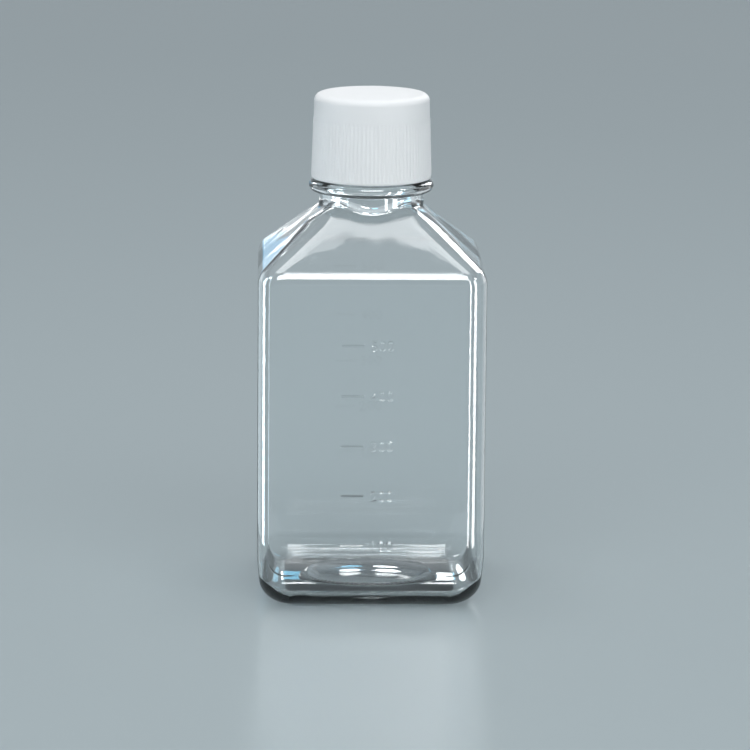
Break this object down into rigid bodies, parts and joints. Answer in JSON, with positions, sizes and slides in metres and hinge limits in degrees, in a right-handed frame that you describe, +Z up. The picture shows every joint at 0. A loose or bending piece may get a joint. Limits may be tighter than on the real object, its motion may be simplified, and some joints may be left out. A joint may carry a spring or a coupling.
{
  "type": "square media bottle",
  "caption": "Clear square plastic bottle with a sloping shoulder, round threaded neck, support ring and white ribbed screw cap with a sealing liner.",
  "frame": {"origin": "centre of the base, on the surface the bottle stands on", "axes": "+Z up along the bottle's axis, -Y out of the graduated front face, +X to the right of that face"},
  "size_m": [0.076, 0.0762, 0.1691],
  "materials": {
    "clear_plastic": "clear, glossy copolyester",
    "white_cap": "satin white polyethylene",
    "liner": "soft white foam"
  },
  "bodies": {
    "bottle": {"bottle": "clear_plastic"},
    "liner": {"cap_liner": "liner"},
    "cap": {"cap": "white_cap"}
  },
  "joints": [
    {"name": "cap_lift", "type": "slide", "parent": "bottle", "child": "liner", "axis": [0, 0, 1], "range_m": [0, 0.0286]},
    {"name": "cap_turn", "type": "hinge", "parent": "liner", "child": "cap", "pos_m": [0, 0, 0.15], "axis": [0, 0, 1], "range_deg": [0, 2430]}
  ],
  "couplings": [
    {"joint": "cap_lift", "follows": "cap_turn", "m_per_rad": 0.00067376}
  ]
}
